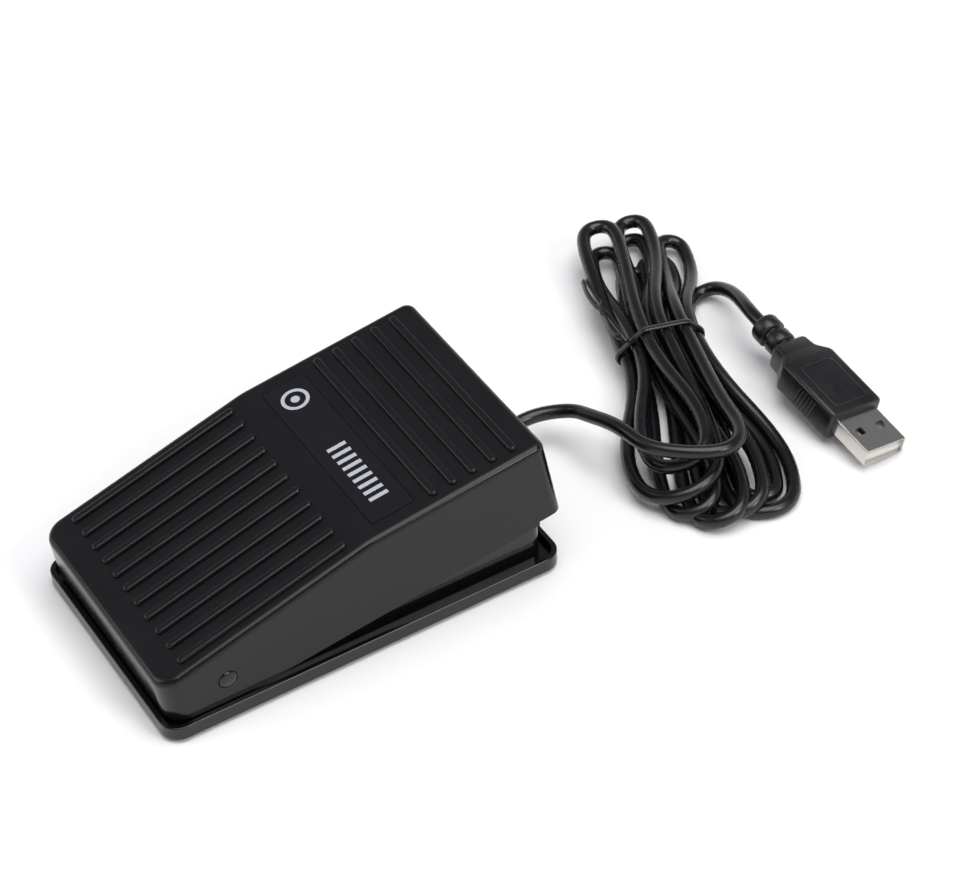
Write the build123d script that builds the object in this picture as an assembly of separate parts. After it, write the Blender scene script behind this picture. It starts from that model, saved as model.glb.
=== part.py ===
# Foot pedal switch for a desk: a hinged pedal over a low base with a snap switch inside,
# and a lead with a moulded plug, tied up in a hank.
# Millimetres. +Z is up, +Y runs to the high end where the lead comes out, and the origin is
# the centre of the footprint, level with the underside of the rubber feet.
import os
from math import cos, pi, radians, sin, sqrt, tan

from build123d import *

os.makedirs("parts", exist_ok=True)

# Base tray
foot_proud = 0.8
base_width = 64.2
base_length = 102.0
base_middle = -0.5
base_corner = 4.6
base_floor = 2.0
rim_height = 3.9
rim_wall = 1.25
base_front = base_middle - base_length / 2
base_rear = base_middle + base_length / 2

# Upstand: the low box on the base that the pedal closes over
upstand_half_width = base_width / 2 - 3.6
upstand_front = base_front + 8.5
upstand_rear = base_rear - 3.8
upstand_front_height = 11.9
upstand_rear_height = 16.5
upstand_wall = 1.8
upstand_corner = 2.2

# Pedal, given as it stands when it is pressed right down, with its rear top level
pedal_half_width = base_width / 2 - 1.6
pedal_front_low = base_front + 0.85
pedal_front_top = base_front + 1.2
pedal_rear_low = base_rear + 0.96
pedal_rear_top = base_rear + 0.25
break_y = base_middle + 5.0
pedal_height = 26.35
front_slope = 8.75
pedal_wall = 1.65
pedal_roof = 2.2
front_corner = 5.0
rear_corner = 2.6
top_edge_round = 1.6
break_round = 14.0
skirt_dip = 0.5
skirt_end = base_rear - 5.4
rim_clearance = 0.5
rest_clearance = 0.3

# Hinge
hinge_y = base_front + 16.3
hinge_height = 10.7
rest_angle = 7.65
stud_radius = 2.3
stud_gap = 0.08
stud_proud = 0.15
stud_pad = 1.5

# Grip ribs on the pedal
rib_width = 2.0
rib_height = 0.9
rib_round = 0.55
long_rib_count = 11
long_rib_pitch = 5.29
long_rib_start = 3.8
long_rib_end = 48.6
cross_rib_count = 5
cross_rib_pitch = 5.2
cross_rib_start = 18.9
cross_rib_length = 55.0

# Label let into the pedal
label_length = 51.4
label_width = 11.0
label_start = 3.5
label_depth = 0.35
label_thickness = 0.4
label_gap = 0.15

# Rubber feet
foot_radius = 4.6
foot_recess = 0.6
foot_gap = 0.1
foot_x = base_width / 2 - 8.1
foot_y = base_length / 2 - 8.5

# Circuit board
board_thickness = 1.6
board_lift = 3.0
board_width = 34.0
board_length = 48.0
board_x = 4.0
board_y = hinge_y + 27.2
board_hole_radius = 1.2
board_hole_inset = 2.8
boss_radius = 2.4
screw_length = 4.0
screw_radius = 1.0
screw_gap = 0.05
screw_head_radius = 2.1
screw_head_height = 1.3

# Snap switch, soldered to the board
switch_length = 19.8
switch_width = 6.4
switch_height = 10.2
switch_front = hinge_y + 7.7
switch_cover_width = 1.4
lever_thickness = 0.4
lever_width = 4.2
lever_length = 17.0
lever_pivot_in = 1.6
lever_pivot_up = 0.7
lever_rest_angle = 12.6
plunger_in = 8.2
plunger_width = 1.6
plunger_gap = 0.06
pin_width = 0.9
pin_count = 3
pin_pitch = 7.0
pin_in = 2.9
striker_reach = 14.2
striker_gap = 0.3
striker_width = 7.0
striker_thickness = 2.0

# What else stands on the board
chip_x = board_x + 10.0
chip_y = board_y + 9.0
chip_length = 10.0
chip_width = 4.0
chip_height = 1.5
chip_leg_count = 8
chip_leg_pitch = 1.27
can_x = board_x + 10.5
can_y = board_y
can_length = 10.0
can_width = 4.2
can_height = 3.7
can_flange = 0.4
# Places on the board are given from its middle
capacitor_places = [(-10.5, -18.0), (5.5, 17.5)]
capacitor_radius = 2.0
capacitor_height = 5.4
capacitor_crown = 1.4
resistor_places = [(4.0, -13.0), (7.0, -13.0), (10.0, -13.0), (4.0, -9.5), (10.0, 17.5)]
resistor_length = 2.1
resistor_width = 1.3
resistor_height = 0.6

# Return spring
spring_y = base_rear - 19.5
spring_radius = 4.2
spring_wire = 1.0
spring_turns = 8
spring_end_climb = 2.0
spring_seat_gap = 0.1
spring_post_radius = 3.2
spring_post_height = 3.0
spring_peg_radius = 2.0
spring_peg_back = 1.2

# Lead
cord_diameter = 3.5
cable_x = -6.6
cable_z = 8.6
bush_radius = 2.8
bush_flange_radius = 4.0
bush_flange = 1.0
bush_gap = 0.06
clamp_inset = 12.5
clamp_front = base_rear - clamp_inset
clamp_length = 4.5
clamp_half_width = 8.5
clamp_thickness = 2.6
clamp_gap = 0.3
clamp_screw_offset = 5.4
cable_inside_end = clamp_front - 2.0
lead_radius = 0.45
lead_offset_across = 0.85
lead_offset_up = 0.62
lead_straight_share = 4 / 21
lead_names = ["lead_red", "lead_white", "lead_green", "lead_black"]
lead_sides = [(-1, 1), (-1, -1), (1, -1), (1, 1)]
header_x = board_x - 5.0
header_length = 6.0
header_width = 10.4
header_height = 5.6
header_pitch = 2.2

# Hank of cord: seven and a half loops in four layers. The layers lean one beside the next like
# a fanned hand of cards, the top one to the left, and the tie draws them in at the waist
hank_x = -14.3
hank_behind = 57.8
hank_y = base_rear + hank_behind
hank_turn = -22.6
hank_runs = 15
hank_gap = 0.5
hank_pitch = cord_diameter + hank_gap
floor_gap = 0.05
waist_along = 1.0
waist_across = -1.4
waist_slant = 6.0
waist_inner = 1.3
waist_step = 2.5
waist_lift = 1.1
climb_slope = 0.1
upper_inner = 3.2
upper_step = 2.05
upper_reach = 47.0
upper_lean = 3.4
upper_across = -0.5
lower_inner = 5.5
lower_step = 2.2
lower_reach = 65.0
lower_lean = 4.4
lower_across = -1.0
crossing_rise = 2.3
crossing_gap = 0.15
exit_turn = 0.15
exit_length = 6.5

# Tie round the waist of the hank
tie_width = 2.2
tie_thickness = 0.8
tie_gap = 0.15
tie_corner = 2.4
tie_twist_radius = 1.0
tie_twist_length = 6.0
tie_tail_radius = 0.55
tie_tail = 27.0

# Plug
plug_x = 32.8
plug_behind = 81.0
plug_y = base_rear + plug_behind
plug_z = 5.35
plug_yaw = 2.0
plug_dip = 7.6
plug_roll = -9.5
plug_half_width = 8.0
plug_height = 8.5
plug_body = 20.5
plug_neck = 26.9
plug_neck_half_width = 4.5
plug_neck_height = 6.8
plug_round = 0.9
relief_length = 10.0
relief_rings = 2
relief_groove = 1.3
relief_groove_radius = 2.7
relief_front_radius = 3.6
relief_rear_radius = 4.0
panel_length = 14.0
panel_width = 11.0
panel_line = 0.3
panel_depth = 0.25
grip_count = 6
grip_pitch = 1.3
grip_start = 7.0
grip_slant = 18.0
shell_width = 12.0
shell_height = 4.5
shell_wall = 0.3
shell_length = 12.0
shell_inside = 3.0
shell_window = 2.2
shell_window_x = 5.7
shell_window_y = 3.1
tongue_height = 1.85
tongue_short = 0.9
contact_width = 1.1
contact_length = 7.0
contact_thickness = 0.12
contact_places = [(-3.5, 0.9), (-1.0, 0), (1.0, 0), (3.5, 0.9)]

# Places that follow from the sizes above
floor_top = foot_proud + base_floor
rim_top = foot_proud + rim_height
pedal_top = foot_proud + pedal_height
hinge_z = foot_proud + hinge_height
board_low = floor_top + board_lift
board_top = board_low + board_thickness
switch_top = board_top + switch_height
roof_low = pedal_top - pedal_roof
cord_radius = cord_diameter / 2
hinge_axis = Axis((0, hinge_y, hinge_z), (1, 0, 0))
# A cutting block this large reaches past the whole object
beyond = 200.0


def write(name, shape):
    export_step(shape, "parts/" + name + ".step")


def group(solids):
    return Compound(children=list(solids))


def to_rest(shape):
    """Swings a piece of the pedal from pressed down up to rest."""
    return shape.rotate(hinge_axis, rest_angle)


def height_at_rest(y, z):
    """Height at rest of a place on the pedal that is given as it stands pressed down."""
    turn = radians(rest_angle)
    return hinge_z + (y - hinge_y) * sin(turn) + (z - hinge_z) * cos(turn)


def rod(start, direction, radius, length):
    """A round bar that leaves start along direction."""
    return extrude(Plane(origin=start, z_dir=direction) * Circle(radius), amount=length)


def screw(place, direction, length):
    """A pan-head screw: place is the centre of the seat under its head."""
    head = rod(place, [-part for part in direction], screw_head_radius, screw_head_height)
    head = fillet(head.edges().filter_by(GeomType.CIRCLE).sort_by_distance(place)[-1:], 0.6)
    slot_centre = [at - part * screw_head_height for at, part in zip(place, direction)]
    slot = Plane(origin=slot_centre, z_dir=direction) * Box(beyond, 0.5, 1.0)
    return head - slot + rod(place, direction, screw_radius, length)


# Base

def upstand_profile(inset, bottom, top_extra):
    front = upstand_front + inset
    rear = upstand_rear - inset
    front_top = floor_top + upstand_front_height + top_extra
    rear_top = floor_top + upstand_rear_height + top_extra
    corners = [(front, bottom), (front, front_top), (rear, rear_top), (rear, bottom)]
    return Plane.YZ * make_face(Polyline(*corners, close=True))


def upright_edges(solid):
    return solid.edges().filter_by(lambda edge: abs((edge % 0.5).Z) > 0.95)


def upstand():
    outer = extrude(upstand_profile(0, floor_top - 0.5, 0), amount=upstand_half_width, both=True)
    outer = fillet(upright_edges(outer), upstand_corner)
    inner = extrude(
        upstand_profile(upstand_wall, floor_top, upstand_wall + 5),
        amount=upstand_half_width - upstand_wall,
        both=True,
    )
    inner = fillet(upright_edges(inner), max(upstand_corner - upstand_wall, 0.3))
    return outer - inner


def hinge_stud(side):
    """A domed boss that the pedal's side snaps over, thickened behind by a pad."""
    reach = pedal_half_width + stud_proud - upstand_half_width + upstand_wall
    start = side * (upstand_half_width - upstand_wall)
    stud = rod((start, hinge_y, hinge_z), (side, 0, 0), stud_radius, reach)
    outer_face = stud.faces().sort_by(Axis.X)[-1 if side > 0 else 0]
    stud = fillet(outer_face.edges(), stud_radius * 0.45)
    pad_start = (start - side * stud_pad, hinge_y, hinge_z)
    return stud + rod(pad_start, (side, 0, 0), stud_radius + stud_pad, stud_pad)


def board_screw_places():
    across = board_width / 2 - board_hole_inset
    along = board_length / 2 - board_hole_inset
    return [(board_x + i * across, board_y + j * along) for i in (-1, 1) for j in (-1, 1)]


def foot_places():
    return [
        ("rubber_foot_front_left", -foot_x, base_middle - foot_y),
        ("rubber_foot_front_right", foot_x, base_middle - foot_y),
        ("rubber_foot_rear_left", -foot_x, base_middle + foot_y),
        ("rubber_foot_rear_right", foot_x, base_middle + foot_y),
    ]


def clamp_seat():
    """The block under the cable, with half of the cable's groove and two screw holes."""
    block = Box(2 * clamp_half_width, clamp_length, cable_z - floor_top - clamp_gap / 2 + 0.5)
    top = cable_z - clamp_gap / 2
    block = Pos(cable_x, clamp_front + clamp_length / 2, (top + floor_top - 0.5) / 2) * block
    for offset in (-clamp_screw_offset, clamp_screw_offset):
        centre = (cable_x + offset, clamp_front + clamp_length / 2, top - screw_length)
        block -= rod(centre, (0, 0, 1), screw_radius + screw_gap, screw_length + 1)
    return block - cable_hole(clamp_front - 1, clamp_length + 2, cord_radius + screw_gap)


def cable_hole(start, length, radius):
    return rod((cable_x, start, cable_z), (0, 1, 0), radius, length)


def base_tray():
    plan = RectangleRounded(base_width, base_length, base_corner)
    hollow_plan = RectangleRounded(
        base_width - 2 * rim_wall, base_length - 2 * rim_wall, base_corner - rim_wall
    )
    body = extrude(Pos(0, base_middle, foot_proud) * plan, rim_height)
    body = chamfer(body.faces().sort_by(Axis.Z)[0].edges(), 0.5)
    body = fillet(body.faces().sort_by(Axis.Z)[-1].edges(), 0.3)
    body -= extrude(Pos(0, base_middle, floor_top) * hollow_plan, rim_height)
    body += upstand()
    for side in (-1, 1):
        body += hinge_stud(side)
    for x, y in board_screw_places():
        body += rod((x, y, floor_top - 0.5), (0, 0, 1), boss_radius, board_lift + 0.5)
        body -= rod((x, y, floor_top - 0.6), (0, 0, 1), screw_radius + screw_gap, board_lift + 1)
    body += clamp_seat()
    post = rod((0, spring_y, floor_top - 0.5), (0, 0, 1), spring_post_radius, spring_post_height + 0.5)
    body += chamfer(post.faces().sort_by(Axis.Z)[-1].edges(), 0.6)
    body -= cable_hole(upstand_rear - upstand_wall - 1, upstand_wall + 2, bush_radius + bush_gap)
    for _, x, y in foot_places():
        body -= rod((x, y, foot_proud - 1), (0, 0, 1), foot_radius + foot_gap, foot_recess + 1)
    return body


def rubber_foot(x, y):
    pad = rod((x, y, 0), (0, 0, 1), foot_radius, foot_proud + foot_recess)
    return fillet(pad.faces().sort_by(Axis.Z)[0].edges(), 0.4)


# Pedal

def slope_height(y):
    return pedal_top - (break_y - y) * tan(radians(front_slope))


def pedal_block(inset, drop, bottom):
    """The pedal's outline from the side, drawn in by inset and lowered by drop, made solid."""
    front_top = pedal_front_top + inset
    outline = Polyline(
        (pedal_front_low + inset, bottom),
        (front_top, slope_height(front_top) - drop / cos(radians(front_slope))),
        (break_y, pedal_top - drop),
        (pedal_rear_top - inset, pedal_top - drop),
        (pedal_rear_low - inset, bottom),
        close=True,
    )
    block = extrude(Plane.YZ * make_face(outline), amount=pedal_half_width - inset, both=True)
    corners = upright_edges(block)
    block = fillet(corners.filter_by(lambda edge: edge.center().Y < 0), front_corner - inset)
    rear = upright_edges(block).filter_by(lambda edge: edge.center().Y > 0)
    return fillet(rear, rear_corner - inset)


def top_edges(block):
    """The edges round the pedal's top, without the line where its two slopes meet."""
    tops = block.faces().filter_by(lambda face: face.normal_at().Z > 0.9)
    edges = [edge for face in tops for edge in face.edges()]
    return ShapeList(edge for edge in edges if abs(edge.center().Y - break_y) > 1.5)


def grip_rib(length):
    bar = extrude(Pos(0, 0, -0.3) * SlotOverall(length, rib_width), rib_height + 0.3)
    return fillet(bar.faces().sort_by(Axis.Z)[-1].edges(), rib_round)


def grip_ribs():
    incline = radians(front_slope)
    front_top = Plane(
        origin=(0, break_y, pedal_top), x_dir=(1, 0, 0), z_dir=(0, -sin(incline), cos(incline))
    )
    length = long_rib_end - long_rib_start
    long_rib = Rot(0, 0, 90) * grip_rib(length)
    middle = -(long_rib_end + long_rib_start) / 2
    ribs = []
    for index in range(long_rib_count):
        x = (index - (long_rib_count - 1) / 2) * long_rib_pitch
        ribs.append(front_top * Pos(x, middle, 0) * long_rib)
    cross_rib = grip_rib(cross_rib_length)
    for index in range(cross_rib_count):
        y = break_y + cross_rib_start + index * cross_rib_pitch
        ribs.append(Pos(0, y, pedal_top) * cross_rib)
    return ribs


def label_block(extra, thickness):
    middle = break_y + label_start + label_width / 2
    plan = RectangleRounded(label_length + 2 * extra, label_width + 2 * extra, 0.6 + extra)
    return extrude(Pos(0, middle, pedal_top - label_depth) * plan, thickness)


def striker_place():
    """Where the striker meets the lever, along the base."""
    return switch_front + lever_pivot_in + striker_reach


def striker_tip():
    """Height of the striker's tip with the pedal pressed, just over the flat lever."""
    return switch_top + lever_pivot_up + lever_thickness / 2 + striker_gap


def striker():
    """The rib under the pedal that presses the lever, with a web across it."""
    tip = striker_tip()
    root = slope_height(striker_place()) - 1
    blade = Box(striker_width, striker_thickness, root - tip)
    low_edges = blade.faces().sort_by(Axis.Z)[0].edges().filter_by(Axis.X)
    blade = fillet(low_edges, striker_thickness * 0.45)
    web_height = root - tip - 2
    web = Box(striker_thickness, striker_width, web_height)
    middle = (root + tip) / 2
    return Pos(0, striker_place(), middle) * blade + Pos(0, striker_place(), middle + 0.5) * web


def spring_peg():
    """The peg under the pedal's roof that keeps the spring's top in place."""
    foot = (0, spring_y + spring_peg_back, roof_low - spring_post_height)
    peg = rod(foot, (0, 0, 1), spring_peg_radius, spring_post_height + 1)
    return chamfer(peg.faces().sort_by(Axis.Z)[0].edges(), 0.6)


def lead_gate():
    """The way through the pedal's rear wall for the lead, with a round top."""
    top = cable_z + cord_radius + 1.2
    slot = Pos(cable_x, pedal_rear_low, top / 2) * Box(cord_diameter + 2.6, 8, top)
    return slot + rod((cable_x, pedal_rear_low - 4, top), (0, 1, 0), cord_radius + 1.3, 8)


def pedal_cover():
    skirt_low = rim_top - skirt_dip
    shell = pedal_block(0, 0, skirt_low)
    ridge = shell.edges().filter_by(Axis.X).sort_by_distance((0, break_y, pedal_top))[0]
    shell = fillet(ridge, break_round)
    shell = fillet(top_edges(shell), top_edge_round)
    shell -= pedal_block(pedal_wall, pedal_roof, skirt_low - 1)
    # The rear corners stop above the rim, and the front edge stands level on it at rest
    rear_length = beyond / 2 - skirt_end
    rear_cut = Box(beyond, rear_length, rim_top + rim_clearance)
    shell -= Pos(0, skirt_end + rear_length / 2, (rim_top + rim_clearance) / 2) * rear_cut
    front_cut = Pos(0, -beyond / 2 + hinge_y + 15, 0) * Box(beyond, beyond, 2 * (rim_top + rest_clearance))
    shell -= front_cut.rotate(hinge_axis, -rest_angle)
    shell += grip_ribs()
    shell -= label_block(label_gap, label_thickness + 1)
    shell -= rod((-beyond / 2, hinge_y, hinge_z), (1, 0, 0), stud_radius + stud_gap, beyond)
    shell -= lead_gate()
    return shell + striker() + spring_peg()


# Board and what is on it

def circuit_board():
    plan = RectangleRounded(board_width, board_length, 1.0)
    board = extrude(Pos(board_x, board_y, board_low) * plan, board_thickness)
    for x, y in board_screw_places():
        board -= rod((x, y, board_low - 1), (0, 0, 1), board_hole_radius, board_thickness + 2)
    for x, y in switch_pin_places():
        board -= Pos(x, y, board_low) * Box(pin_width + 0.1, 0.6, 4)
    return board


def switch_pin_places():
    first = switch_front + pin_in
    return [(0, first + index * pin_pitch) for index in range(pin_count)]


def switch_pins():
    top = board_top + 0.6
    low = board_low - 1.2
    pin = Box(pin_width, 0.5, top - low)
    return [Pos(x, y, (top + low) / 2) * pin for x, y in switch_pin_places()]


def plunger_hole(extra):
    width = plunger_width + 2 * extra
    return Pos(0, switch_front + plunger_in, switch_top - 2) * Box(width + 1.2, width, 6)


def switch_block(low_x, high_x):
    middle = switch_front + switch_length / 2
    block = Box(high_x - low_x, switch_length, switch_height)
    block = Pos((low_x + high_x) / 2, middle, board_top + switch_height / 2) * block
    block = fillet(block.edges().filter_by(Axis.X), 0.5)
    for y in (switch_front + 5.1, switch_front + switch_length - 5.1):
        block -= rod((low_x - 1, y, board_top + 2.6), (1, 0, 0), 1.15, high_x - low_x + 2)
    return block


def switch_case():
    case = switch_block(-switch_width / 2, switch_width / 2 - switch_cover_width)
    for x, y in switch_pin_places():
        case -= Pos(x, y, board_top) * Box(pin_width + 0.02, 0.52, 1.4)
    case -= plunger_hole(plunger_gap)
    pivot = lever_pivot()
    for side in (-1, 1):
        ear = Box(0.7, 2.6, lever_pivot_up + 2.0)
        ear = Pos(side * (lever_width / 2 + 0.45), pivot[1], switch_top + lever_pivot_up / 2) * ear
        ear -= rod((-beyond / 2, pivot[1], pivot[2]), (1, 0, 0), 0.5 + screw_gap, beyond)
        if side < 0:
            case += ear
        else:
            far_ear = ear
    # The far ear stands on the case too, beside the lid
    case += far_ear & switch_reach()
    return case


def switch_reach():
    """The space over the case that the ears may fill, up to the seam with the lid."""
    width = switch_width - switch_cover_width
    low = -switch_width / 2
    return Pos(low + width / 2, 0, switch_top + 5 - 0.4) * Box(width, beyond, 10)


def lever_pivot():
    return (0, switch_front + lever_pivot_in, switch_top + lever_pivot_up)


def switch_plunger():
    depth = 2.2
    top = lever_underside(plunger_in - lever_pivot_in)
    height = top - (switch_top - depth)
    block = Pos(0, switch_front + plunger_in, switch_top - depth + height / 2) * Box(
        plunger_width + 1.2 - 2 * plunger_gap, plunger_width, height
    )
    return fillet(block.faces().sort_by(Axis.Z)[-1].edges().filter_by(Axis.X), plunger_width * 0.3)


def lever_underside(along):
    """Height of the lever's lower face at rest, so far from its pivot, less a little room."""
    incline = radians(lever_rest_angle)
    return lever_pivot()[2] + along * tan(incline) - lever_thickness / 2 / cos(incline) - 0.12


def switch_lever():
    pivot = lever_pivot()
    blade = Box(lever_width, lever_length, lever_thickness)
    blade = Pos(0, pivot[1] + lever_length / 2, pivot[2]) * blade
    blade = fillet(blade.edges().filter_by(Axis.Z).sort_by(Axis.Y)[-2:], 1.2)
    pin = rod((-lever_width / 2 - 0.75, pivot[1], pivot[2]), (1, 0, 0), 0.5, lever_width + 1.5)
    lever = blade + pin
    return lever.rotate(Axis(pivot, (1, 0, 0)), lever_rest_angle)


def controller_chip():
    """A surface-mount package with a row of bent legs down each long side."""
    body = Box(chip_width, chip_length, chip_height)
    body = Pos(chip_x, chip_y, board_top + 0.15 + chip_height / 2) * body
    body = chamfer(body.edges().filter_by(Axis.Y), 0.25)
    dot_place = (chip_x - chip_width / 2 + 0.9, chip_y + chip_length / 2 - 0.9, board_top + chip_height)
    body -= rod(dot_place, (0, 0, 1), 0.35, 1)
    for side in (-1, 1):
        for index in range(chip_leg_count):
            y = chip_y + (index - (chip_leg_count - 1) / 2) * chip_leg_pitch
            body += Pos(chip_x + side * (chip_width / 2 + 0.5), y, board_top + 0.3) * Box(1.3, 0.4, 0.6)
    return body


def crystal_can():
    place = Pos(can_x, can_y, board_top)
    can = extrude(place * SlotOverall(can_length, can_width), can_height)
    can = fillet(can.faces().sort_by(Axis.Z)[-1].edges(), 0.6)
    return can + extrude(place * SlotOverall(can_length + 1, can_width + 0.7), can_flange)


def capacitors():
    cans = []
    for along_x, along_y in capacitor_places:
        x = board_x + along_x
        y = board_y + along_y
        can = rod((x, y, board_top), (0, 0, 1), capacitor_radius, capacitor_height)
        can = fillet(can.faces().sort_by(Axis.Z)[-1].edges(), 0.3)
        crown_place = (x, y, board_top + capacitor_height - 0.2)
        cans.append(can - rod(crown_place, (0, 0, 1), capacitor_crown, 1))
    return cans


def resistors():
    block = Box(resistor_width, resistor_length, resistor_height)
    middle = Pos(board_x, board_y, board_top + resistor_height / 2)
    return [middle * Pos(x, y, 0) * block for x, y in resistor_places]


def header_middle():
    return board_y + board_length / 2 - header_length / 2 - 1.0


def lead_header():
    y = header_middle()
    middle = board_top + header_height / 2
    block = Pos(header_x, y, middle) * Box(header_width, header_length, header_height)
    block = chamfer(block.edges().filter_by(Axis.Y).sort_by(Axis.Z)[-2:], 0.5)
    for x in header_places():
        block -= rod((x, y, middle), (0, 1, 0), lead_radius + screw_gap, header_length)
    return block


def header_places():
    first = header_x - header_pitch * (len(lead_names) - 1) / 2
    return [first + index * header_pitch for index in range(len(lead_names))]


# Spring, lead and hank

def biarc(start, start_way, end, end_way):
    """Two arcs of up to a quarter turn that leave start along start_way and reach end along end_way."""
    span = end - start
    ways = start_way + end_way
    bend = 2 * (1 - start_way.dot(end_way))
    if bend < 1e-9:
        reach = span.dot(span) / (4 * span.dot(end_way))
    else:
        lean = span.dot(ways)
        reach = (sqrt(lean**2 + bend * span.dot(span)) - lean) / bend
    first = start + start_way * reach
    second = end - end_way * reach
    joint = (first + second) * 0.5
    middle_way = (second - first).normalized()
    return [
        TangentArc(start, joint, tangent=start_way),
        TangentArc(joint, end, tangent=middle_way),
    ]


def tube(path, radius):
    return sweep(Plane(origin=path @ 0, z_dir=path % 0) * Circle(radius), path=path)


def joined_arcs(stations):
    """The arcs that lead through places, each given with the direction there."""
    arcs = []
    for (start, start_way), (end, end_way) in zip(stations, stations[1:]):
        arcs += biarc(start, start_way, end, end_way)
    return arcs


def return_spring():
    """Round wire wound up from the floor to the underside of the pedal's roof."""
    low = floor_top + spring_wire / 2
    high = height_at_rest(spring_y - spring_radius, roof_low) - spring_wire / 2 - spring_seat_gap
    quarters = 4 * spring_turns
    # The end turns close up on their neighbours, so the wire climbs between them
    climb = (high - low) / (quarters - 8 + 2 * spring_end_climb)
    heights = [low]
    for index in range(quarters):
        at_end = index < 4 or index >= quarters - 4
        heights.append(heights[-1] + (climb * spring_end_climb / 4 if at_end else climb))
    stations = []
    for index, height in enumerate(heights):
        turn = index * pi / 2
        at_end = index <= 4 or index >= quarters - 4
        rise = (climb * spring_end_climb / 4 if at_end else climb) / (spring_radius * pi / 2)
        place = Vector(spring_radius * cos(turn), spring_y + spring_radius * sin(turn), height)
        stations.append((place, Vector(-sin(turn), cos(turn), rise).normalized()))
    edges = joined_arcs(stations)
    print("spring least gap", round(least_gap(edges, 0.4, 3 * spring_wire, spring_wire), 2))
    return tube(Wire(edges), spring_wire / 2)


def hank_place(s, w, z):
    """From along, across and up in the hank to the object's own directions."""
    turn = radians(hank_turn)
    x = hank_x + s * cos(turn) - w * sin(turn)
    y = hank_y + s * sin(turn) + w * cos(turn)
    return Vector(x, y, z)


def hank_way(s, w, z):
    turn = radians(hank_turn)
    way = Vector(s * cos(turn) - w * sin(turn), s * sin(turn) + w * cos(turn), z)
    return way.normalized()


def turns_out(run):
    """How many half turns a run lies out from the innermost one, as the loops spiral in and out."""
    return 4 - abs((run - 3) % 8 - 4)


def layer_height(layer):
    return floor_gap + cord_radius + layer * hank_pitch


def upper_across_of(layer):
    """How far across the middle of a layer's loops lies at the hank's upper end."""
    return upper_across + upper_lean * (1.5 - layer)


def lower_across_of(layer):
    return lower_across + lower_lean * (1.5 - layer)


def waist_place(across, layer):
    """A place where the tie holds the hank, whose runs go through it at a slant."""
    slant = radians(waist_slant)
    s = waist_along - across * sin(slant)
    w = waist_across + across * cos(slant)
    return hank_place(s, w, layer_height(layer) + waist_lift)


def waist_way(going, rise):
    slant = radians(waist_slant)
    return hank_way(going * cos(slant), going * sin(slant), rise)


def upper_turn(run, side, layer):
    """Where a run meets the loop at the upper end, and the tip of that loop, between two runs."""
    out = turns_out(run)
    half = upper_inner + out * upper_step
    across = upper_across_of(layer)
    start = upper_reach - (3.5 - out) * upper_step - half
    meeting = (hank_place(-start, side * half + across, layer_height(layer)), hank_way(-side, 0, 0))
    other = turns_out(run + 1)
    reach = upper_reach - (3.5 - (out + other) / 2) * upper_step
    shift = (out - other) * upper_step / 2
    return meeting, (hank_place(-reach, across + shift, layer_height(layer)), hank_way(0, -1, 0))


def lower_turn(run, side, layer):
    out = turns_out(run)
    half = lower_inner + out * lower_step
    across = lower_across_of(layer)
    start = lower_reach - (3.5 - out) * lower_step - half
    meeting = (hank_place(start, side * half + across, layer_height(layer)), hank_way(-side, 0, 0))
    other = turns_out(run + 1)
    reach = lower_reach - (3.5 - (out + other) / 2) * lower_step
    shift = (other - out) * lower_step / 2
    return meeting, (hank_place(reach, across + shift, layer_height(layer)), hank_way(0, 1, 0))


def crossing_stations():
    """The lead comes up from the floor, crosses over the loops and turns back into the hank."""
    over = layer_height(4) + crossing_gap
    return [
        (hank_place(31.0, -23.6, over - crossing_rise), hank_way(0.76, 0.52, 0.39)),
        (hank_place(41.5, -17.7, over), hank_way(0.83, 0.56, 0)),
        (hank_place(51.6, 1.5, over), hank_way(0, 1, 0)),
        (hank_place(41.0, 12.8, over), hank_way(-1, 0, 0)),
    ]


def hank_stations():
    """Places and directions along the hank, from the lead's crossing to the way out to the plug."""
    stations = crossing_stations()
    for run in range(hank_runs):
        side = 1 if run % 2 == 0 else -1
        upper_layer = 3 - run // 4
        # Where the spiral reverses, the run goes down a layer on its way to the lower end
        drop = 1 if run % 4 == 3 else 0
        lower_layer = upper_layer - drop
        across = side * (waist_inner + turns_out(run) * waist_step)
        waist = waist_place(across, (upper_layer + lower_layer) / 2)
        waist = (waist, waist_way(-side, -drop * climb_slope))
        upper, upper_tip = upper_turn(run, side, upper_layer)
        lower, lower_tip = lower_turn(run, side, lower_layer)
        if side > 0:
            stations += [lower, waist, upper, upper_tip]
        else:
            stations += [upper, waist, lower, lower_tip]
    # The first run comes from the crossing, and the last one leaves for the plug after the waist
    del stations[4]
    del stations[-2:]
    way_out = hank_way(-1, exit_turn, 0)
    stations.append((stations[-1][0] + way_out * exit_length, way_out))
    return stations


def hank_edges():
    stations = hank_stations()
    first, first_way = stations[0]
    last, last_way = stations[-1]
    way_in = Line(first - first_way * cord_diameter, first)
    way_out = Line(last, last + last_way * cord_diameter)
    return [way_in] + joined_arcs(stations) + [way_out]


def least_gap(edges, spacing, apart, diameter):
    """Least distance between a tube's surfaces at places that are more than apart along it."""
    places = []
    along = 0.0
    for edge in edges:
        count = max(2, int(edge.length / spacing))
        for index in range(count):
            places.append((along + edge.length * index / count, edge @ (index / count)))
        along += edge.length
    cells = {}
    size = diameter * 2
    for number, (_, place) in enumerate(places):
        key = (int(place.X // size), int(place.Y // size), int(place.Z // size))
        cells.setdefault(key, []).append(number)
    least = beyond
    for (i, j, k), numbers in cells.items():
        near = [
            other
            for di in (-1, 0, 1)
            for dj in (-1, 0, 1)
            for dk in (-1, 0, 1)
            for other in cells.get((i + di, j + dj, k + dk), [])
        ]
        for number in numbers:
            for other in near:
                if places[other][0] - places[number][0] > apart:
                    least = min(least, (places[other][1] - places[number][1]).length)
    return least - diameter


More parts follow.
